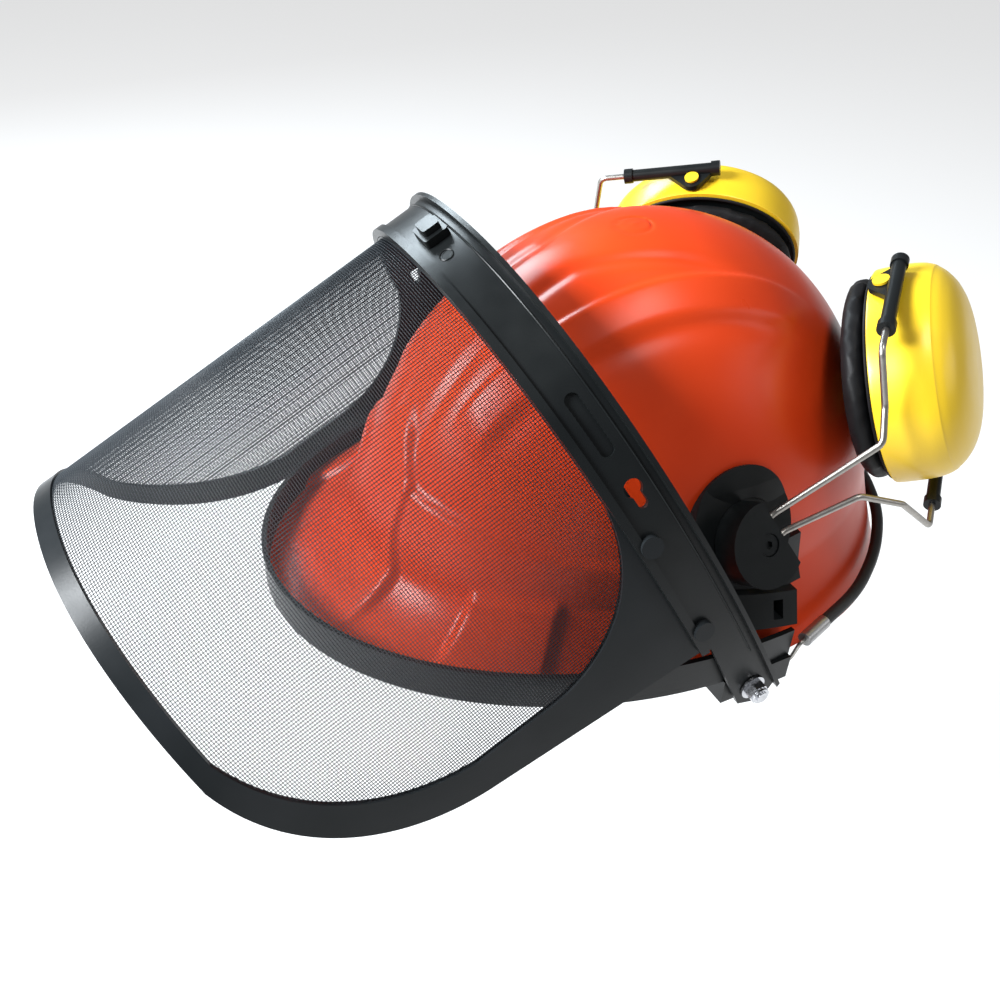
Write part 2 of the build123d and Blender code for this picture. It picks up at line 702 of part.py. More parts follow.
def sweatband():
    """The padded brow band inside the headband."""
    x, y = HEAD_HALF[0] - HEAD_STRAP - 0.1, HEAD_HALF[1] - HEAD_STRAP - 0.1
    face = strap_outline(x, y, 5) - strap_outline(x - 3.2, y - 3.2, 6)
    pad = Pos(0, HEAD_Y, HEAD_LOW + 3) * extrude(face, HEAD_HIGH - HEAD_LOW - 6)
    return only_solid(pad & box(-90, 90, -120, -28, -60, 60))


def nape_outline(grow):
    """The filled plan of the nape strap."""
    half = HEAD_HALF[0] - HEAD_STRAP - 0.5 + grow
    return Pos(0, 60) * strap_outline(half, 40 + grow, NAPE_ARM_Y - 60, front=False)


def nape_strap():
    """The rear strap whose arms slide inside the headband."""
    mouth = 2 * (HEAD_HALF[0] - 2 * HEAD_STRAP - 0.5) - 3.3
    inner = nape_outline(-HEAD_STRAP) + Pos(0, NAPE_ARM_Y - 1) * Rectangle(mouth, 6)
    strap = extrude(nape_outline(0) - inner, NAPE_HIGH - NAPE_LOW)
    return only_solid(Pos(0, 0, NAPE_LOW) * strap)


def ratchet_housing():
    """The rear housing of the size ratchet."""
    z = (NAPE_LOW + NAPE_HIGH) / 2
    case = box(-32, 32, 90, HOUSING_Y, NAPE_LOW + 2, NAPE_HIGH - 2)
    case = case - Pos(0, 0, NAPE_LOW - 5) * extrude(nape_outline(CLEARANCE), 50)
    case = case - rod(6.4, (0, 90, z), (0, HOUSING_Y - 2.5, z))
    return only_solid(case - rod(3.0 + RUNNING_GAP, (0, 90, z), (0, HOUSING_Y + 1, z)))


def ratchet_pinion():
    """The small toothed wheel behind the knob."""
    z = (NAPE_LOW + NAPE_HIGH) / 2
    wheel = Circle(4.8)
    for step in range(10):
        wheel = wheel + Rot(0, 0, 36 * step) * Pos(5.0, 0) * Rectangle(2.0, 1.5)
    plane = Plane(origin=(0, HOUSING_Y - 6.2, z), x_dir=(1, 0, 0), z_dir=(0, 1, 0))
    return only_solid(extrude(plane * wheel, 3.4) - rod(3.0, (0, 90, z), (0, 130, z)))


def ratchet_knob():
    """The knob that tightens the harness, with finger notches."""
    z = (NAPE_LOW + NAPE_HIGH) / 2
    y = HOUSING_Y + CLEARANCE
    knob = rod(KNOB_R, (0, y, z), (0, y + 9.5, z))
    for step in range(12):
        angle = radians(30 * step)
        x, up = (KNOB_R + 1.2) * cos(angle), (KNOB_R + 1.2) * sin(angle)
        knob = knob - rod(2.6, (x, y + 2, z + up), (x, y + 12, z + up))
    return only_solid(knob + rod(3.0, (0, HOUSING_Y - 6.5, z), (0, y, z)))


def suspension_keys():
    """The four keys that plug into the shell and carry the harness."""
    room = hull(-WALL - CLEARANCE, WALL + CLEARANCE)
    core = Pos(0, HEAD_Y, -30) * extrude(Ellipse(HEAD_HALF[0] + 0.1, HEAD_HALF[1] + 0.1), 80)
    keys = []
    for side in (-1, 1):
        for end in (-1, 1):
            angle = degrees(atan2(end * KEY_Y, side * KEY_X))
            key = Pos(side * KEY_X, CROWN_Y + end * KEY_Y, KEY_TOP - 12) * Rot(0, 0, angle) * Box(40, 18, 24)
            keys.append(only_solid((key & room) - core))
    return group(keys)


def crown_strap(side, drop):
    """One webbing strap over the head, between two opposite keys."""
    reach = sqrt(KEY_X ** 2 + KEY_Y ** 2)
    rise = CROWN_Z - KEY_TOP
    radius = (reach ** 2 + rise ** 2) / (2 * rise)
    ring = Circle(radius - drop) - Circle(radius - drop - STRAP_T)
    ring = ring & Pos(0, 150 + KEY_TOP + 0.1 - (CROWN_Z - radius)) * Rectangle(300, 300)
    direction = Vector(side * KEY_X, -KEY_Y, 0)
    across = direction.cross(Vector(0, 0, 1))
    plane = Plane(origin=(0, CROWN_Y, CROWN_Z - radius), x_dir=direction, z_dir=across)
    return only_solid(extrude(plane * ring, STRAP_W / 2, both=True))


# ---------------------------------------------------------------- write every node
def main():
    """Build and write the whole helmet."""
    save("helmet_shell", helmet_shell())
    save("brim_edge_band", edge_band())
    save("rear_elastic_cord", elastic_cord())
    save_pair("crimp_sleeve", crimp_sleeve())
    save_pair("band_hook", band_hook())
    save_pair("visor_hinge_bolt", hinge_bolt())
    save_pair("visor_hinge_washer", hinge_washer())
    save_pair("visor_lock_nut", hinge_nut())

    save("visor_arch", visor_arch())
    save("visor_side_frame", visor_frame())
    save("visor_rim_trim", rim_trim())
    save("visor_mesh", visor_mesh())
    save("visor_mesh_studs", mesh_studs())
    save("visor_top_clip", top_clip())

    save_pair("adapter_base", adapter_base())
    save_pair("adapter_cap", adapter_cap())
    save_pair("cap_screw", cap_screw())
    save_pair("yoke_hinge_pin", yoke_hinge_pin())
    wires = [yoke_wire(1), yoke_wire(-1)]
    save_pair("yoke_wire_upper", wires[0])
    save_pair("yoke_wire_lower", wires[1])
    save_pair("yoke_barrel", yoke_barrel(wires))
    save_pair("slide_tube_upper", slider(1))
    save_pair("slide_tube_lower", slider(-1))
    save_pair("cup_shell", cup_shell())
    save_pair("cup_back_plate", cup_back_plate())
    save_pair("cup_foam", cup_foam())
    save_pair("ear_cushion", ear_cushion())
    save_pair("pivot_buttons", pivot_buttons())

    save("headband", headband())
    save("sweatband", sweatband())
    save("nape_strap", nape_strap())
    save("ratchet_housing", ratchet_housing())
    save("ratchet_pinion", ratchet_pinion())
    save("ratchet_knob", ratchet_knob())
    save("suspension_keys", suspension_keys())
    save("crown_strap_left", crown_strap(1, 0))
    save("crown_strap_right", crown_strap(-1, STRAP_T + 1.1))


main()
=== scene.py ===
import json
from math import asin, atan2, cos, pi, radians, sin, sqrt

import bpy
import numpy as np
from mathutils import Euler, Matrix, Vector


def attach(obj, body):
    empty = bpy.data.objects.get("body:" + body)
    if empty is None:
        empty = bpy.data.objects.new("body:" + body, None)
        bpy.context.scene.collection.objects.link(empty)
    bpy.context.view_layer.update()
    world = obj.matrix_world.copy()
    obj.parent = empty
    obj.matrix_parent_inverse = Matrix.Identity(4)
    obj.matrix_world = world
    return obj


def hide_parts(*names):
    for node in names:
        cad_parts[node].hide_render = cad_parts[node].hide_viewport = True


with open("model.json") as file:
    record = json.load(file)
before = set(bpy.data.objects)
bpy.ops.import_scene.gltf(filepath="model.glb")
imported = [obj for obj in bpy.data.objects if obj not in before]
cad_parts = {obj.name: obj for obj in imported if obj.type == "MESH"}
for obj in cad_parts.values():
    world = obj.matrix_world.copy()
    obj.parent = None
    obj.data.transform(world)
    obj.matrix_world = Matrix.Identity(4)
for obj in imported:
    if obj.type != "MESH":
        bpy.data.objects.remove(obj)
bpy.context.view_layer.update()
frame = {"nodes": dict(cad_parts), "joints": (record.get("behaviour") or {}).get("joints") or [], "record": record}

NODES = frame["nodes"]
JOINTS = {joint["name"]: joint for joint in frame["joints"]}
MM = 0.001

# ---------------------------------------------------------------- sizes shared with the CAD model, mm
WALL = 2.6
DOME_HALF = (97.3, 126.7, 142.3)
DOME_Y = 8.7
SKIRT_Z = 24.0
BRIM_HALF_WIDTH = 112.0
BRIM_FRONT = 158.5
BRIM_REAR = 138.0
BRIM_Z = -5.5
BRIM_SLOPE = -0.0606
REAR_SQUARENESS = 2.3
HINGE = Vector((0, 0.9, -10.1))
VISOR_TILT = radians(27.9)
ARCH_HALF_WIDTH = 119.0
ARCH_REACH = 181.7
ARCH_SQUARENESS = 2.176
ARCH_FRONT = 12.0
MESH_DEPTH = -3.45
VISOR_LENGTH = 177.0
RIM_WIDTH = 7.5
RIM_JOINT = 102.0
CUP_TURN = radians(3.0)
CUP_HALF = (49.0, 42.0)
HEAD_HALF = (77.0, 97.0)
HEAD_Y = 4.0
HEAD_STRAP = 1.8
HEAD_LOW = -20.0
HEAD_HIGH = 8.0
KEY_X = 60.6
KEY_Y = 78.0
KEY_TOP = 26.0
CROWN_Y = 6.4
CROWN_Z = 104.0
STRAP_T = 1.2
STRAP_W = 20.0


# ---------------------------------------------------------------- materials
def node_tree(name):
    """A new material's nodes, with its shader."""
    material = bpy.data.materials.new(name)
    material.use_nodes = True
    tree = material.node_tree
    shader = tree.nodes["Principled BSDF"]
    return material, tree, shader


def coordinates(tree, stretch=(1, 1, 1)):
    """Object coordinates, scaled."""
    where = tree.nodes.new("ShaderNodeTexCoord")
    scale = tree.nodes.new("ShaderNodeMapping")
    scale.inputs["Scale"].default_value = stretch
    tree.links.new(where.outputs["Object"], scale.inputs["Vector"])
    return scale.outputs["Vector"]


def noise(tree, vector, size_mm, detail=2.0):
    """Noise whose features are about size_mm across."""
    node = tree.nodes.new("ShaderNodeTexNoise")
    node.inputs["Scale"].default_value = 1.0 / (size_mm * MM)
    node.inputs["Detail"].default_value = detail
    tree.links.new(vector, node.inputs["Vector"])
    return node.outputs["Fac"]


def spread(tree, value, low, high):
    """A 0 to 1 value mapped to a range."""
    node = tree.nodes.new("ShaderNodeMapRange")
    node.inputs["From Min"].default_value = 0.1
    node.inputs["From Max"].default_value = 0.9
    node.inputs["To Min"].default_value = low
    node.inputs["To Max"].default_value = high
    tree.links.new(value, node.inputs["Value"])
    return node.outputs["Result"]


def blend_colours(tree, value, first, second):
    """A colour between two, by value."""
    ramp = tree.nodes.new("ShaderNodeValToRGB")
    ramp.color_ramp.elements[0].position = 0.2
    ramp.color_ramp.elements[1].position = 0.8
    ramp.color_ramp.elements[0].color = (*first, 1)
    ramp.color_ramp.elements[1].color = (*second, 1)
    tree.links.new(value, ramp.inputs["Fac"])
    return ramp.outputs["Color"]


def add_bump(tree, shader, height, depth_mm, strength=1.0):
    """Bump of a real depth from a height value."""
    bump = tree.nodes.new("ShaderNodeBump")
    bump.inputs["Strength"].default_value = strength
    bump.inputs["Distance"].default_value = depth_mm * MM
    tree.links.new(height, bump.inputs["Height"])
    tree.links.new(bump.outputs["Normal"], shader.inputs["Normal"])


def plastic(name, dark, light, rough, grain_mm=0.7, depth_mm=0.03, coat=0.0, blotch_mm=30.0, specular=0.5):
    """Moulded plastic: slight colour drift, uneven gloss and a fine grain."""
    material, tree, shader = node_tree(name)
    vector = coordinates(tree)
    shade = blend_colours(tree, noise(tree, vector, blotch_mm), dark, light)
    tree.links.new(shade, shader.inputs["Base Color"])
    gloss = spread(tree, noise(tree, vector, blotch_mm / 4, 3.0), rough * 0.85, rough * 1.2)
    tree.links.new(gloss, shader.inputs["Roughness"])
    shader.inputs["Coat Weight"].default_value = coat
    shader.inputs["Coat Roughness"].default_value = 0.12
    shader.inputs["Specular IOR Level"].default_value = specular
    add_bump(tree, shader, noise(tree, vector, grain_mm, 3.0), depth_mm)
    return material


def metal(name, colour, rough, streak=(1, 1, 1)):
    """Metal with fine drawn streaks and dull patches."""
    material, tree, shader = node_tree(name)
    shader.inputs["Metallic"].default_value = 1.0
    vector = coordinates(tree, streak)
    darker = tuple(c * 0.75 for c in colour)
    shade = blend_colours(tree, noise(tree, vector, 3.0, 4.0), darker, colour)
    tree.links.new(shade, shader.inputs["Base Color"])
    gloss = spread(tree, noise(tree, vector, 1.2), rough * 0.8, rough * 1.3)
    tree.links.new(gloss, shader.inputs["Roughness"])
    add_bump(tree, shader, noise(tree, vector, 0.5), 0.02)
    return material


def waves(tree, vector, pitch_mm, direction):
    """Parallel ridges at a pitch."""
    node = tree.nodes.new("ShaderNodeTexWave")
    node.wave_type = "BANDS"
    node.bands_direction = direction
    node.wave_profile = "SIN"
    node.inputs["Scale"].default_value = 2 * pi / 20 / (pitch_mm * MM)
    tree.links.new(vector, node.inputs["Vector"])
    return node.outputs["Fac"]


def combine(tree, first, second):
    """The product of two values."""
    node = tree.nodes.new("ShaderNodeMath")
    node.operation = "MULTIPLY"
    tree.links.new(first, node.inputs[0])
    tree.links.new(second, node.inputs[1])
    return node.outputs["Value"]


def woven(name, dark, light, pitch_mm, depth_mm, directions=("X", "Z"), sheen=0.2):
    """Woven webbing: two sets of ridges, with fibre noise."""
    material, tree, shader = node_tree(name)
    vector = coordinates(tree)
    first, second = (waves(tree, vector, pitch_mm, direction) for direction in directions)
    ridges = combine(tree, first, second)
    shade = blend_colours(tree, noise(tree, vector, 1.5, 4.0), dark, light)
    tree.links.new(shade, shader.inputs["Base Color"])
    shader.inputs["Roughness"].default_value = 0.85
    shader.inputs["Sheen Weight"].default_value = sheen
    add_bump(tree, shader, ridges, depth_mm)
    return material


def pebbled(name, dark, light, rough, cell_mm, depth_mm, specular=0.4):
    """Vinyl with a fine leather grain."""
    material, tree, shader = node_tree(name)
    vector = coordinates(tree)
    cells = tree.nodes.new("ShaderNodeTexVoronoi")
    cells.feature = "SMOOTH_F1"
    cells.inputs["Scale"].default_value = 1.0 / (cell_mm * MM)
    tree.links.new(vector, cells.inputs["Vector"])
    shade = blend_colours(tree, noise(tree, vector, 12.0, 3.0), dark, light)
    tree.links.new(shade, shader.inputs["Base Color"])
    gloss = spread(tree, noise(tree, vector, 6.0), rough * 0.85, rough * 1.15)
    tree.links.new(gloss, shader.inputs["Roughness"])
    shader.inputs["Specular IOR Level"].default_value = specular
    add_bump(tree, shader, cells.outputs["Distance"], depth_mm, 0.6)
    return material


def make_materials():
    """Every material, by the record's slot."""
    made = {}
    made["shell_orange"] = plastic(
        "shell_plastic", (0.60, 0.040, 0.006), (0.70, 0.058, 0.009), 0.30, 1.2, 0.006, blotch_mm=55,
        specular=0.25)
    made["carrier_black"] = plastic(
        "carrier_plastic", (0.005, 0.006, 0.0065), (0.009, 0.0105, 0.011), 0.33, 0.5, 0.025, specular=0.22)
    made["trim_black"] = plastic(
        "trim_plastic", (0.009, 0.011, 0.012), (0.016, 0.018, 0.020), 0.30, 0.8, 0.02, specular=0.15)
    made["cup_yellow"] = plastic(
        "cup_plastic", (0.72, 0.46, 0.014), (0.82, 0.56, 0.022), 0.34, 0.6, 0.015, coat=0.1, blotch_mm=45,
        specular=0.4)
    made["cushion_black"] = pebbled(
        "cushion_vinyl", (0.005, 0.005, 0.0055), (0.009, 0.009, 0.010), 0.50, 0.7, 0.05, specular=0.14)
    made["foam_grey"] = pebbled("ear_foam", (0.035, 0.035, 0.036), (0.06, 0.06, 0.062), 0.95, 0.9, 0.35)
    made["steel_wire"] = metal("spring_steel", (0.42, 0.40, 0.37), 0.36)
    made["zinc"] = metal("zinc_plate", (0.66, 0.67, 0.70), 0.22)
    made["sleeve_grey"] = metal("crimp_alloy", (0.50, 0.50, 0.50), 0.38)
    made["elastic_black"] = plastic(
        "elastic_rubber", (0.012, 0.012, 0.012), (0.02, 0.02, 0.02), 0.5, 0.35, 0.05)
    made["webbing"] = woven("harness_webbing", (0.05, 0.05, 0.052), (0.09, 0.09, 0.095), 1.1, 0.25)
    made["sweat_pad"] = woven(
        "sweat_towelling", (0.03, 0.03, 0.032), (0.06, 0.06, 0.062), 0.9, 0.3, sheen=0.5)
    made["mesh_grey"] = plastic(
        "mesh_wire", (0.020, 0.024, 0.028), (0.032, 0.037, 0.043), 0.40, 0.4, 0.01, specular=0.2)
    return made


MATERIALS = make_materials()


def dress_cad_nodes():
    """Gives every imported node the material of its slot."""
    slots = {entry["node"]: entry["material_slot"] for entry in frame["record"]["subparts"]}
    for name, obj in NODES.items():
        obj.data.materials.clear()
        obj.data.materials.append(MATERIALS[slots[name]])


# ---------------------------------------------------------------- mesh tools
def mesh_object(name, points, faces, sharp=35.0):
    """A smooth-shaded object from points in millimetres."""
    mesh = bpy.data.meshes.new(name)
    places = (np.asarray(points, float) * MM).tolist()
    mesh.from_pydata(places, [], [tuple(int(i) for i in f) for f in faces])
    mesh.validate()
    mesh.shade_smooth()
    mesh.set_sharp_from_angle(angle=radians(sharp))
    obj = bpy.data.objects.new(name, mesh)
    bpy.context.scene.collection.objects.link(obj)
    return obj


def finish_piece(obj, body, slot, *replaced):
    """Rides a piece on its body, with its slot and material."""
    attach(obj, body)
    if not obj.data.materials:
        obj.data.materials.append(MATERIALS[slot])
    if replaced:
        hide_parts(*replaced)
    return obj


def grid_faces(rows, columns, wrap=True, offset=0, flip=False):
    """Quads of a grid of points stored row by row."""
    row = np.arange(rows - 1)[:, None]
    span = columns if wrap else columns - 1
    column = np.arange(span)[None, :]
    after = (column + 1) % columns
    quads = np.stack([
        row * columns + column, row * columns + after,
        (row + 1) * columns + after, (row + 1) * columns + column], axis=-1).reshape(-1, 4)
    if flip:
        quads = quads[:, ::-1]
    return (quads + offset).tolist()


def smooth(low, high, value):
    """A smooth 0 to 1 step between two values, either way round."""
    t = np.clip((value - low) / (high - low), 0, 1)
    return t * t * (3 - 2 * t)


def swept(name, path, outline, normals, closed_path=True, sharp=35.0):
    """A section outline carried along a path; normals give the section's first axis."""
    path = np.asarray(path, float)
    normals = np.asarray(normals, float)
    if closed_path:
        ahead = np.roll(path, -1, axis=0) - np.roll(path, 1, axis=0)
    else:
        ahead = np.gradient(path, axis=0)
    ahead = ahead / np.linalg.norm(ahead, axis=1)[:, None]
    across = np.cross(ahead, normals)
    across = across / np.linalg.norm(across, axis=1)[:, None]
    first = np.cross(across, ahead)
    outline = np.asarray(outline, float)[None]
    points = path[:, None] + outline[..., :1] * first[:, None] + outline[..., 1:] * across[:, None]
    count, sides = points.shape[:2]
    points = points.reshape(-1, 3)
    faces = grid_faces(count, sides)
    if closed_path:
        last = (count - 1) * sides
        for i in range(sides):
            faces.append((last + i, last + (i + 1) % sides, (i + 1) % sides, i))
    else:
        faces.append(tuple(range(sides))[::-1])
        faces.append(tuple(range((count - 1) * sides, count * sides)))
    return mesh_object(name, points, faces, sharp)


def round_section(radius, sides=8):
    """A round section's outline."""
    return [(radius * cos(2 * pi * i / sides), radius * sin(2 * pi * i / sides)) for i in range(sides)]


# ---------------------------------------------------------------- camera and studio
CAMERA_AT = Vector((315.1, -222.5, 291.4))
CAMERA_TURN = Euler((radians(52.822), radians(-1.444), radians(62.95)))
LENS = 35.77
SENSOR = 36.0
FLOOR_HALF = 6.0
FLOOR_Z = -0.33


def add_camera():
    """The viewpoint, from the wearer's left and above."""
    camera = bpy.data.objects.new("camera", bpy.data.cameras.new("camera"))
    bpy.context.scene.collection.objects.link(camera)
    camera.matrix_world = Matrix.Translation(CAMERA_AT * MM) @ CAMERA_TURN.to_matrix().to_4x4()
    camera.data.sensor_width = SENSOR
    camera.data.lens = LENS
    camera.data.clip_start = 0.01
    camera.data.clip_end = 50
    bpy.context.scene.camera = camera


def add_light(name, place, target, size, power, colour=(1, 1, 1)):
    """A soft area light aimed at a point."""
    light = bpy.data.lights.new(name, "AREA")
    light.shape = "RECTANGLE"
    light.size, light.size_y = size
    light.energy = power
    light.color = colour
    obj = bpy.data.objects.new(name, light)
    bpy.context.scene.collection.objects.link(obj)
    obj.location = place
    obj.rotation_mode = "QUATERNION"
    obj.rotation_quaternion = (Vector(target) - Vector(place)).to_track_quat("-Z", "Y")


def add_studio():
    """A plain pale floor, a pale world and soft lights."""
    corners = [(x * FLOOR_HALF, y * FLOOR_HALF, FLOOR_Z) for x, y in ((-1, -1), (1, -1), (1, 1), (-1, 1))]
    floor_mesh = bpy.data.meshes.new("floor")
    floor_mesh.from_pydata(corners, [], [(0, 1, 2, 3)])
    floor = bpy.data.objects.new("floor", floor_mesh)
    bpy.context.scene.collection.objects.link(floor)
    material, _, shader = node_tree("floor_paper")
    shader.inputs["Base Color"].default_value = (0.36, 0.36, 0.36, 1)
    shader.inputs["Roughness"].default_value = 0.9
    shader.inputs["Emission Color"].default_value = (1, 1, 1, 1)
    shader.inputs["Emission Strength"].default_value = 0.62
    floor_mesh.materials.append(material)
    world = bpy.data.worlds.new("studio")
    world.use_nodes = True
    background = world.node_tree.nodes["Background"]
    background.inputs["Color"].default_value = (0.95, 0.97, 1.0, 1)
    background.inputs["Strength"].default_value = 0.2
    bpy.context.scene.world = world
    bpy.context.scene.view_settings.view_transform = "Standard"
    add_light("window", (-0.25, -1.5, 0.95), (0, -0.05, 0.05), (0.7, 0.6), 90, (0.93, 0.97, 1.0))
    add_light("overhead", (0.5, 0.25, 1.7), (0, 0, 0.05), (0.6, 0.45), 10)
    add_light("far window", (-1.3, -0.25, 0.95), (0, -0.08, 0.12), (0.7, 0.5), 26, (0.80, 0.92, 1.0))
    add_light("rear", (0.9, 1.3, 0.7), (0, 0.05, 0.08), (0.8, 0.5), 2.5)


# ---------------------------------------------------------------- shell
def brim_rows(angle):
    """Points of the brim outline for an array of angles."""
    c, s = np.cos(angle), np.sin(angle)
    front = s < 0
    power = np.where(front, 1.0, 2 / REAR_SQUARENESS)
    reach = np.where(front, BRIM_FRONT, BRIM_REAR)
    x = BRIM_HALF_WIDTH * np.abs(c) ** power * np.sign(c)
    y = reach * np.abs(s) ** power * np.sign(s)
    return np.stack([x, y, BRIM_Z + BRIM_SLOPE * y], axis=-1)


def dome_rows(angle, level):
    """Points of the dome at an elliptical level, for an array of angles."""
    ring = cos(level)
    x = DOME_HALF[0] * ring * np.cos(angle)
    y = DOME_Y + DOME_HALF[1] * ring * np.sin(angle)
    return np.stack([x, y, np.full_like(x, DOME_HALF[2] * sin(level))], axis=-1)


def shell_base(columns, flare_rows, dome_count):
    """The shell's smooth outer surface as rows of points, brim first."""
    angle = 2 * pi * (np.arange(columns) + 0.5) / columns
    low = asin(SKIRT_Z / DOME_HALF[2])
    foot = brim_rows(angle)
    top = dome_rows(angle, low)
    rise = dome_rows(angle, low + 0.01) - top
    rise = rise / np.linalg.norm(rise, axis=1)[:, None]
    gap = top - foot
    sag = (0.3 + 0.7 * np.clip(-np.sin(angle), 0, 1) ** 2)[:, None]
    leave = gap * (1 + sag * np.array([0.35, 0.35, -0.5]))
    arrive = gap * (1 - sag) + rise * gap[:, 2:3] * 1.25 * sag
    rows = []
    for i in range(flare_rows):
        t = i / flare_rows
        h0, h1 = 2 * t ** 3 - 3 * t ** 2 + 1, t ** 3 - 2 * t ** 2 + t
        h2, h3 = -2 * t ** 3 + 3 * t ** 2, t ** 3 - t ** 2
        rows.append(h0 * foot + h1 * leave + h2 * top + h3 * arrive)
    crown = radians(89.6)
    for i in range(dome_count):
        rows.append(dome_rows(angle, low + (crown - low) * i / (dome_count - 1)))
    return np.array(rows)


def shell_relief(p):
    """Height of the moulded relief, in mm outwards, at surface points."""
    x, y, z = np.abs(p[..., 0]), p[..., 1], p[..., 2]
    bearing = np.degrees(np.arctan2(x, -(y - DOME_Y)))
    height = np.zeros_like(x)
    # raised side ribs from the brow over the crown
    inner = 29 + 0.11 * (y + 47)
    outer = 43.5 + 0.12 * (y + 45)
    rib = smooth(inner - 1.6, inner + 1.6, x) * (1 - smooth(outer - 2.6, outer + 2.6, x))
    rib = rib * smooth(-90, -80, y) * (1 - smooth(38, 66, y)) * smooth(70, 84, z)
    height += 1.6 * rib
    # groove beside the centre panel
    centre = 13 + 0.37 * np.clip(y + 33, 0, None)
    groove = np.exp(-((x - centre) / 3.6) ** 2) * smooth(-112, -98, y) * (1 - smooth(8, 34, y))
    height -= 1.3 * groove * smooth(62, 80, z)
    outer_groove = np.exp(-((x - outer - 3.5) / 3.2) ** 2) * smooth(-84, -70, y) * (1 - smooth(20, 50, y))
    height -= 0.5 * outer_groove * smooth(70, 84, z)
    # keel in the middle of the brow
    half = np.interp(z, [5, 20, 38, 57, 70, 84], [33, 27, 21, 21.5, 12, 1])
    keel = 1 - smooth(half - 1.4, half + 1.8, x)
    keel = keel * (1 - smooth(70, 88, z)) * smooth(2, 16, z) * (y < 0)
    height += 4.0 * keel * (1 - 0.35 * smooth(20, 60, z))
    # two flat facets either side of the keel, below the step
    line = 57 - 0.31 * (bearing - 11)
    strength = 3.0 * smooth(6, 13, bearing) * (1 - smooth(34, 84, bearing))
    step = 1 - smooth(line - 1.8, line + 1.8, z)
    height += strength * step * smooth(2, 24, z) * (y < DOME_Y)
    # raised accessory blocks at the temples
    block = smooth(27.6, 29.2, bearing) * (1 - smooth(44.4, 46.0, bearing)) * (y < DOME_Y)
    block = block * (1 - smooth(25.2, 28.6, z))
    height += 4.2 * block * smooth(-7, 2, z)
    # crown disc
    ring = np.hypot(p[..., 0] - 2.5, y - 1.3)
    height -= 0.45 * np.exp(-((ring - 7) / 0.8) ** 2) * (z > 100)
    height += 0.25 * np.exp(-(ring / 1.6) ** 2) * (z > 100)
    return height


def surface_normals(rows):
    """Outward normals of a closed grid of rows."""
    around = np.roll(rows, -1, axis=1) - np.roll(rows, 1, axis=1)
    along = np.gradient(rows, axis=0)
    normal = np.cross(around, along)
    return normal / np.linalg.norm(normal, axis=2)[..., None]


def add_shell():
    """The moulded shell with its relief, wall thickness and closed brim edge."""
    columns = 560
    outer = shell_base(columns, 26, 104)
    normal = surface_normals(outer)
    outer = outer + normal * shell_relief(outer)[..., None]
    inner = shell_base(columns, 5, 14)
    inner = inner - surface_normals(inner) * WALL
    inner[0, :, 2] = outer[0, :, 2]
    points = np.concatenate([outer.reshape(-1, 3), inner.reshape(-1, 3), [[0, DOME_Y, DOME_HALF[2]]],
                             [[0, DOME_Y, DOME_HALF[2] - WALL]]])
    first = len(outer) * columns
    faces = grid_faces(len(outer), columns)
    faces += grid_faces(len(inner), columns, offset=first, flip=True)
    top, roof = len(points) - 2, len(points) - 1
    last_out = first - columns
    last_in = first + (len(inner) - 1) * columns
    for i in range(columns):
        j = (i + 1) % columns
        faces.append((last_out + i, last_out + j, top))
        faces.append((last_in + j, last_in + i, roof))
        faces.append((j, i, first + i, first + j))
    shell = mesh_object("shell_body", points, faces, sharp=50)
    finish_piece(shell, "helmet", "shell_orange", "helmet_shell")


# ---------------------------------------------------------------- visor
GUIDE = Vector((0, -cos(VISOR_TILT), -sin(VISOR_TILT)))
RISE = GUIDE.cross(Vector((1, 0, 0)))


def visor_place(x, reach, along):
    """Visor coordinates to the row frame, as arrays."""
    x, reach, along = np.broadcast_arrays(x, reach, along)
    base = np.array(HINGE)
    return (base + x[..., None] * np.array([1.0, 0, 0]) + reach[..., None] * np.array(RISE)
            + along[..., None] * np.array(GUIDE))


def arch_rows(angle, grow):
    """Sideways position and reach on the arch's outline, for angles."""
    power = 2 / ARCH_SQUARENESS
    c, s = np.cos(angle), np.sin(angle)
    x = (ARCH_HALF_WIDTH + grow) * np.abs(c) ** power * np.sign(c)
    return x, (ARCH_REACH + grow) * np.abs(s) ** power


def arch_track(grow, count=4000):
    """The arch's outline by length: position, reach and length so far."""
    x, reach = arch_rows(np.linspace(1e-4, pi - 1e-4, count), grow)
    length = np.concatenate([[0], np.cumsum(np.hypot(np.diff(x), np.diff(reach)))])
    return x, reach, length


def arc_through(a, b, c, count=40):
    """Points of the arc through three points, the shorter way round."""
    (ax, ay), (bx, by), (cx, cy) = a, b, c
    d = 2 * (ax * (by - cy) + bx * (cy - ay) + cx * (ay - by))
    ux = ((ax**2 + ay**2) * (by - cy) + (bx**2 + by**2) * (cy - ay) + (cx**2 + cy**2) * (ay - by)) / d
    uy = ((ax**2 + ay**2) * (cx - bx) + (bx**2 + by**2) * (ax - cx) + (cx**2 + cy**2) * (bx - ax)) / d
    start, end = atan2(ay - uy, ax - ux), atan2(cy - uy, cx - ux)
    turn = (end - start + pi) % (2 * pi) - pi
    radius = sqrt((ax - ux) ** 2 + (ay - uy) ** 2)
    angles = start + turn * np.linspace(0, 1, count)
    return ux + radius * np.cos(angles), uy + radius * np.sin(angles)


def opening_edge():
    """The least reach of the mesh at each position along the visor."""
    low = arc_through((116, ARCH_FRONT), (77.5, 31), (63, 74))
    high = arc_through((63, RIM_JOINT), (80.5, 142), (124, VISOR_LENGTH - RIM_WIDTH))
    reach = np.concatenate([low[0], high[0]])
    along = np.concatenate([low[1], high[1]])
    return reach, along


WEFT_PITCH = 1.0
WARP_PITCH = 1.25
WIRE_RADIUS = 0.165
WIRE_LIFT = 0.17
WIRE_LAP = 0.9


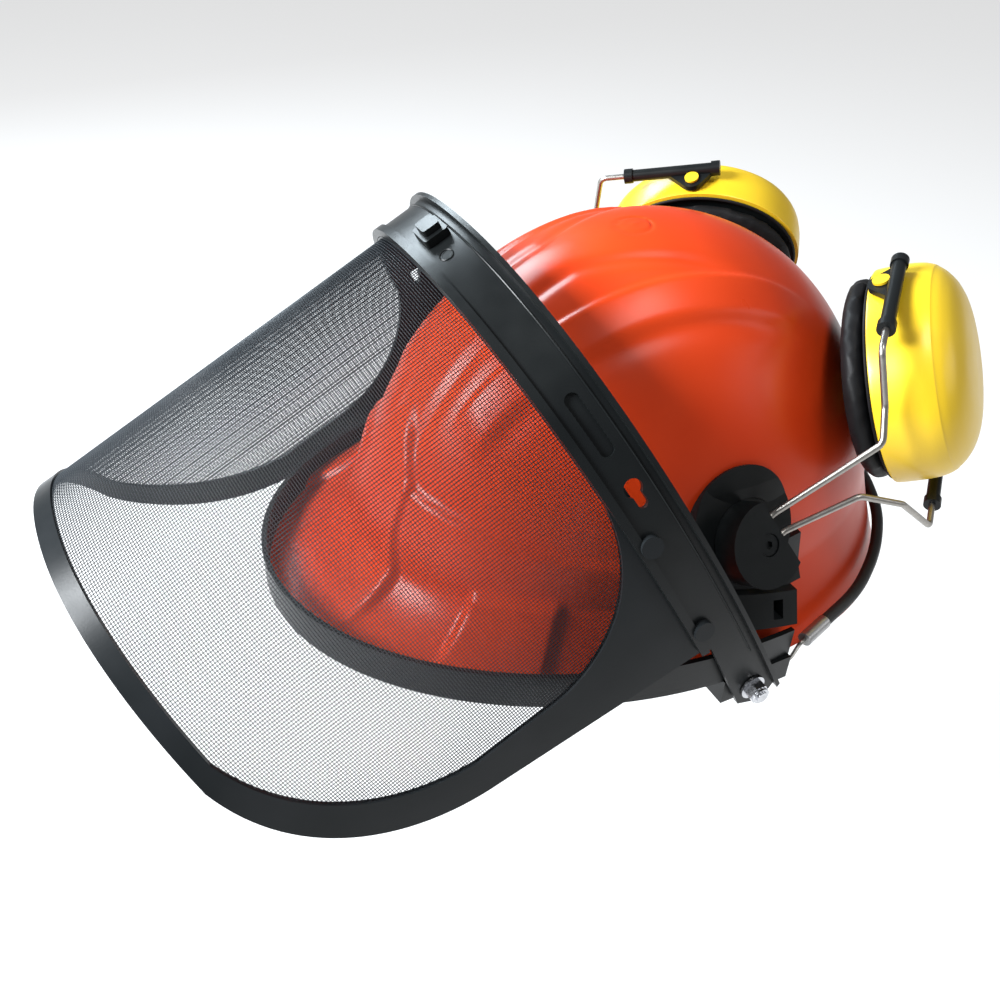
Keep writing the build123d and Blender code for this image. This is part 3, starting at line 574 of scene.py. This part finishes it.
def add_weave():
    """The visor's woven mesh: weft wires along the arch pass over and under the straight warp wires."""
    x, reach, length = arch_track(MESH_DEPTH)
    edge_reach, edge_along = opening_edge()
    total = length[-1]
    corners = [(WIRE_RADIUS * a, WIRE_RADIUS * b) for a, b in ((1, 0), (-0.6, 0.95), (-0.6, -0.95))]
    strands = {"weft_a": ([], []), "weft_b": ([], []), "warp": ([], [])}

    def strand(kind, path, out, side):
        """A three-sided strand along a path."""
        points, faces = strands[kind]
        start = 3 * sum(len(p) // 3 for p in points)
        points.append(np.stack([path + out * a + side * b for a, b in corners], axis=1).reshape(-1, 3))
        faces.extend(grid_faces(len(path), 3, offset=start))
        faces.append((start + 2, start + 1, start))
        last = start + 3 * len(path) - 3
        faces.append((last, last + 1, last + 2))

    def outward(s):
        """Outward direction of the sheet at lengths along the outline."""
        dx = np.interp(s + 0.5, length, x) - np.interp(s - 0.5, length, x)
        dr = np.interp(s + 0.5, length, reach) - np.interp(s - 0.5, length, reach)
        size = np.hypot(dx, dr)
        return (dr / size)[:, None] * np.array([1.0, 0, 0]) - (dx / size)[:, None] * np.array(RISE)

    crossings = np.arange(total / 2 % WARP_PITCH, total, WARP_PITCH)
    rows = np.arange(ARCH_FRONT - WIRE_LAP, VISOR_LENGTH - RIM_WIDTH + WIRE_LAP, WEFT_PITCH)
    for k, along in enumerate(rows):
        least = np.interp(along, edge_along, edge_reach) - WIRE_LAP
        s = crossings[np.interp(crossings, length, reach) > least]
        if len(s) < 3:
            continue
        lift = WIRE_LIFT * np.where((np.round(s / WARP_PITCH).astype(int) + k) % 2 == 0, 1, -1)
        out = outward(s)
        path = visor_place(np.interp(s, length, x), np.interp(s, length, reach), along) + out * lift[:, None]
        side = np.broadcast_to(np.array(GUIDE), path.shape)
        strand("weft_a" if k % 2 else "weft_b", path, out, side)
    for s in crossings:
        here = float(np.interp(s, length, reach))
        inside = [a for a in rows if np.interp(a, edge_along, edge_reach) - WIRE_LAP < here]
        if len(inside) < 2:
            continue
        along = np.array([inside[0], inside[-1]])
        path = visor_place(np.interp(s, length, x), here, along)
        out = np.repeat(outward(np.array([s])), 2, axis=0)
        strand("warp", path, out, np.cross(out, np.array(GUIDE)))
    for kind, (points, faces) in strands.items():
        wires = mesh_object(f"visor_wires_{kind}", np.concatenate(points), faces, sharp=180)
        finish_piece(wires, "visor", "mesh_grey", *(["visor_mesh"] if kind == "warp" else []))


def arch_frame(angle, lift, along):
    """Points on the arch's outer face and its outward direction there."""
    x, reach = arch_rows(angle, lift)
    nearby = arch_rows(angle + 1e-3, lift)
    dx, dr = nearby[0] - x, nearby[1] - reach
    size = np.hypot(dx, dr)
    out = (dr / size)[:, None] * np.array([1.0, 0, 0]) - (dx / size)[:, None] * np.array(RISE)
    return visor_place(x, reach, along), out


def add_arch_details():
    """The fine moulded line along the arch and two plain rings beside the clip."""
    path, out = arch_frame(np.linspace(0.10, pi - 0.10, 260), 0.02, -5.8)
    line = swept("arch_line", path, round_section(0.42, 8), out, closed_path=False)
    finish_piece(line, "visor", "carrier_black")
    for name, turn, size in (("arch_ring_rear", 0.098, 2.6), ("arch_ring_front", -0.080, 2.1)):
        centre, out = arch_frame(np.array([pi / 2 - turn]), 0.0, 2.4 if turn > 0 else -1.2)
        out = Vector(out[0])
        side = out.cross(GUIDE)
        ring = [Vector(centre[0]) + (side * cos(a) + GUIDE * sin(a)) * size
                for a in np.linspace(0, 2 * pi, 40, endpoint=False)]
        piece = swept(name, ring, round_section(0.24, 6), [tuple(out)] * 40)
        finish_piece(piece, "visor", "carrier_black")


# ---------------------------------------------------------------- ear muffs
def muff_frame():
    """The left muff's pivot and its long, short and outward directions."""
    tilt, slide = JOINTS["left_cup_tilt"], JOINTS["left_cup_slide"]
    pivot = Vector(tilt["pos_m"]) / MM
    short = -Vector(tilt["axis"])
    lean = Vector(slide["axis"])
    square = lean.cross(short)
    normal = square * cos(CUP_TURN) + lean * sin(CUP_TURN)
    return pivot, lean * cos(CUP_TURN) - square * sin(CUP_TURN), short, normal


def place_muff(points, side):
    """Muff coordinates (long, short, outward) to the row frame, on either side."""
    pivot, long, short, normal = (np.array(v) for v in muff_frame())
    points = np.asarray(points, float)
    world = pivot + points[:, :1] * long + points[:, 1:2] * short + points[:, 2:] * normal
    return world * np.array([side, 1, 1])


def facing(faces, side):
    """Faces, turned over on the mirrored side."""
    return faces if side > 0 else [tuple(reversed(f)) for f in faces]


def rings(profile, half, count=120):
    """Points of stacked ellipses; profile gives inset and level."""
    angle = 2 * pi * np.arange(count) / count
    blocks = []
    for inset, level in profile:
        x = (half[0] - inset) * np.cos(angle)
        y = (half[1] - inset * half[1] / half[0]) * np.sin(angle)
        blocks.append(np.stack([x, y, np.full(count, level)], axis=-1))
    return np.concatenate(blocks)


def rounded(profile, steps=5):
    """A profile smoothed through its points."""
    p = np.asarray(profile, float)
    padded = np.vstack([2 * p[0] - p[1], p, 2 * p[-1] - p[-2]])
    out = []
    for i in range(len(p) - 1):
        a, b, c, d = padded[i:i + 4]
        for t in np.arange(steps) / steps:
            out.append(0.5 * (2 * b + (c - a) * t + (2 * a - 5 * b + 4 * c - d) * t ** 2
                              + (3 * b - a - 3 * c + d) * t ** 3))
    out.append(p[-1])
    return [tuple(q) for q in out]


CUP_OUTSIDE = ((0.5, -6), (0.0, -5.4), (0.0, 1), (0.3, 7), (1.3, 12.5), (3.0, 16.2), (3.9, 17.2), (7.0, 20.2),
               (12.5, 23.6), (20.5, 26.2), (30.5, 27.6), (40.0, 28.0), (48.4, 28.0))
CUP_INSIDE = ((2.9, -6), (2.5, -5.6), (2.5, 4), (3.6, 12), (6.4, 16.6), (14, 21.4), (26, 24.6), (40, 25.4),
              (48.4, 25.5))


def add_cup(side, name):
    """The yellow ear cup: flat sides, a soft crease and a crowned back."""
    count = 120
    outside, inside = rounded(CUP_OUTSIDE), rounded(CUP_INSIDE)
    points = np.concatenate([rings(outside, CUP_HALF, count), rings(inside, CUP_HALF, count)])
    first = len(outside) * count
    faces = grid_faces(len(outside), count)
    faces += grid_faces(len(inside), count, offset=first, flip=True)
    faces.append(tuple(range(first - count, first)))
    faces.append(tuple(range(len(points) - count, len(points)))[::-1])
    for i in range(count):
        j = (i + 1) % count
        faces.append((j, i, first + i, first + j))
    cup = mesh_object(f"{name}_cup_body", place_muff(points, side), facing(faces, side), sharp=60)
    finish_piece(cup, f"{name}_muff", "cup_yellow", f"{name}_cup_shell")


PAD_CENTRE = (38.0, 31.0)
PAD_LEVEL = -12.8
PAD_SWELL = 2.2
PAD_VOXEL = 3.2
PAD_FRAMES = 20
PAD_PRESSURE = 4.0


def ring_pad(width, depth, bulge=0.0):
    """A closed ring pad in muff coordinates, as points and faces."""
    around, about = 96, 20
    angle = 2 * pi * np.arange(around) / around
    centre = PAD_CENTRE
    points = []
    for a in angle:
        out = np.array([cos(a) / centre[0], sin(a) / centre[1]])
        out = out / np.linalg.norm(out)
        for k in range(about):
            b = 2 * pi * k / about
            c, s = cos(b), sin(b)
            w = width * abs(c) ** 0.75 * (1 if c > 0 else -1)
            d = depth * abs(s) ** 0.75 * (1 if s > 0 else -1)
            w = w * (1 + bulge * (1 - abs(s)))
            points.append((centre[0] * cos(a) + out[0] * w, centre[1] * sin(a) + out[1] * w, PAD_LEVEL + d))
    faces = grid_faces(around, about)
    last = (around - 1) * about
    for k in range(about):
        faces.append((last + k, last + (k + 1) % about, (k + 1) % about, k))
    return np.array(points), faces


def inflate(obj):
    """Swells a pad by cloth simulation, with a limit on how far each point moves."""
    scene = bpy.context.scene
    remesh = obj.modifiers.new("remesh", "REMESH")
    remesh.mode = "VOXEL"
    remesh.voxel_size = PAD_VOXEL * MM
    settle(obj)
    start = np.zeros(len(obj.data.vertices) * 3)
    obj.data.vertices.foreach_get("co", start)
    cloth = obj.modifiers.new("cloth", "CLOTH")
    cloth.settings.quality = 5
    cloth.settings.mass = 0.15
    cloth.settings.tension_stiffness = 18
    cloth.settings.compression_stiffness = 18
    cloth.settings.bending_stiffness = 1.2
    cloth.settings.use_pressure = True
    cloth.settings.uniform_pressure_force = PAD_PRESSURE
    cloth.settings.effector_weights.gravity = 0
    for number in range(1, PAD_FRAMES + 1):
        scene.frame_set(number)
    settle(obj)
    scene.frame_set(1)
    moved = np.zeros(len(obj.data.vertices) * 3)
    obj.data.vertices.foreach_get("co", moved)
    step = (moved - start).reshape(-1, 3)
    size = np.linalg.norm(step, axis=1)
    allowed = np.minimum(1.0, PAD_SWELL * MM / np.maximum(size, 1e-9))
    final = start.reshape(-1, 3) + step * allowed[:, None]
    obj.data.vertices.foreach_set("co", final.ravel())
    obj.data.update()
    finer = obj.modifiers.new("finer", "SUBSURF")
    finer.levels = finer.render_levels = 1
    settle(obj)
    obj.data.shade_smooth()


def settle(obj):
    """Replaces an object's mesh by its evaluated one, with no modifiers left."""
    graph = bpy.context.evaluated_depsgraph_get()
    graph.update()
    mesh = bpy.data.meshes.new_from_object(obj.evaluated_get(graph))
    old = obj.data
    obj.modifiers.clear()
    obj.data = mesh
    bpy.data.meshes.remove(old)


def add_cushions():
    """Both ear cushions: a cloth-simulated ring, with its welt and the piping of its opening."""
    points, faces = ring_pad(8.3, 5.1, 0.05)
    left = mesh_object("left_cushion_pad", place_muff(points, 1), faces, sharp=180)
    inflate(left)
    for side, name in ((1, "left"), (-1, "right")):
        pad = left
        if side < 0:
            mesh = left.data.copy()
            mesh.transform(Matrix.Diagonal((-1, 1, 1, 1)))
            mesh.flip_normals()
            pad = bpy.data.objects.new("right_cushion_pad", mesh)
            bpy.context.scene.collection.objects.link(pad)
        finish_piece(pad, f"{name}_muff", "cushion_black", f"{name}_ear_cushion")
        angle = np.linspace(0, 2 * pi, 160, endpoint=False)
        pipings = (("welt", -7.0, (46.8, 39.8), 0.75), ("rim", -7.4, (29.2, 22.2), 0.6))
        for label, level, half, thick in pipings:
            ring = np.stack([half[0] * np.cos(angle), half[1] * np.sin(angle), np.full(160, level)], axis=-1)
            inward = np.stack([np.cos(angle), np.sin(angle), 0 * angle], axis=-1)
            pivot = place_muff(np.zeros((1, 3)), side)
            welt = swept(f"{name}_cushion_{label}", place_muff(ring, side), round_section(thick, 8),
                         place_muff(inward, side) - pivot)
            finish_piece(welt, f"{name}_muff", "cushion_black")


def add_foams():
    """The crowned foam discs inside the cups."""
    profile = rounded([(39.0, 6.8), (25, 6.2), (10, 6.3), (3.0, 7.2), (0.4, 9.0), (0.1, 11.5), (0.4, 14),
                       (3.2, 16.2), (12, 16.9), (39.0, 17.0)], 4)
    count = 96
    points = rings([(min(inset, 38.9), level) for inset, level in profile], (39.0, 33.0), count)
    wave = 0.35 * np.sin(points[:, 0] * 0.9) * np.sin(points[:, 1] * 0.9)
    points[:, 2] += wave * (points[:, 2] < 8)
    faces = grid_faces(len(profile), count)
    faces.append(tuple(range(count))[::-1])
    faces.append(tuple(range(len(points) - count, len(points))))
    for side, name in ((1, "left"), (-1, "right")):
        foam = mesh_object(f"{name}_foam_pad", place_muff(points, side), facing(faces, side), sharp=80)
        finish_piece(foam, f"{name}_muff", "foam_grey", f"{name}_cup_foam")


# ---------------------------------------------------------------- harness
def add_sweatband():
    """The padded, stitched brow band, wrapped over the front of the headband."""
    half = (HEAD_HALF[0] - HEAD_STRAP - 0.1, HEAD_HALF[1] - HEAD_STRAP - 0.1)
    least = asin((28.0 + HEAD_Y) / half[1])
    angle = np.linspace(pi + least, 2 * pi - least, 150)
    foot = np.stack([half[0] * np.cos(angle), HEAD_Y + half[1] * np.sin(angle), 0 * angle], axis=-1)
    out = np.stack([np.cos(angle) / half[0], np.sin(angle) / half[1], 0 * angle], axis=-1)
    out = out / np.linalg.norm(out, axis=1)[:, None]
    low, high = HEAD_LOW + 3, HEAD_HIGH - 3
    blocks = []
    for column, (spot, away) in enumerate(zip(foot, out)):
        pucker = 0.18 * cos(column * 2 * pi / 6)
        ends = min(1.0, 0.35 + min(column, len(angle) - 1 - column) / 6)
        section = []
        for u in np.linspace(0, 1, 15):
            crown = (1 - abs(2 * u - 1) ** 4) * (2.9 + pucker) * ends + 0.25
            if abs(abs(2 * u - 1) - 0.72) < 0.08:
                crown -= 0.5
            section.append(spot - away * crown + np.array([0, 0, low + (high - low) * u]))
        section.append(spot + np.array([0, 0, high]))
        section.append(spot + np.array([0, 0, low]))
        blocks.append(section)
    points = np.array(blocks).reshape(-1, 3)
    sides = len(blocks[0])
    faces = grid_faces(len(blocks), sides)
    faces.append(tuple(range(sides))[::-1])
    faces.append(tuple(range(len(points) - sides, len(points))))
    pad = mesh_object("brow_pad", points, faces, sharp=60)
    finish_piece(pad, "helmet", "sweat_pad", "sweatband")


def add_crown_straps():
    """The two webbing straps over the head, each a soft-edged woven strip."""
    reach = sqrt(KEY_X ** 2 + KEY_Y ** 2)
    rise = CROWN_Z - KEY_TOP
    radius = (reach ** 2 + rise ** 2) / (2 * rise)
    for side, drop, name in ((1, 0.0, "left"), (-1, STRAP_T + 1.1, "right")):
        middle = radius - drop - STRAP_T / 2
        end = asin(min(1.0, (KEY_TOP + 0.4 - (CROWN_Z - radius)) / middle))
        turn = np.linspace(end, pi - end, 120)
        direction = np.array([side * KEY_X, -KEY_Y, 0]) / reach
        path = (middle * np.cos(turn))[:, None] * direction
        height = CROWN_Z - radius + middle * np.sin(turn)
        path = path + np.stack([0 * turn, 0 * turn + CROWN_Y, height], axis=-1)
        out = np.cos(turn)[:, None] * direction + np.sin(turn)[:, None] * np.array([0, 0, 1.0])
        half, thick = STRAP_W / 2 - 0.1, STRAP_T / 2 - 0.05
        outline = []
        for k in range(40):
            a = 2 * pi * k / 40
            c, s = cos(a), sin(a)
            wide = half * abs(c) ** 0.35 * (1 if c > 0 else -1)
            tall = thick * abs(s) ** 0.6 * (1 if s > 0 else -1)
            outline.append((tall, wide))
        strap = swept(f"crown_webbing_{name}", path, outline, out, closed_path=False, sharp=60)
        finish_piece(strap, "helmet", "webbing", f"crown_strap_{name}")


def main():
    """Builds the whole picture."""
    dress_cad_nodes()
    add_camera()
    add_studio()
    add_shell()
    add_weave()
    add_arch_details()
    for side, name in ((1, "left"), (-1, "right")):
        add_cup(side, name)
    add_cushions()
    add_foams()
    add_sweatband()
    add_crown_straps()


main()
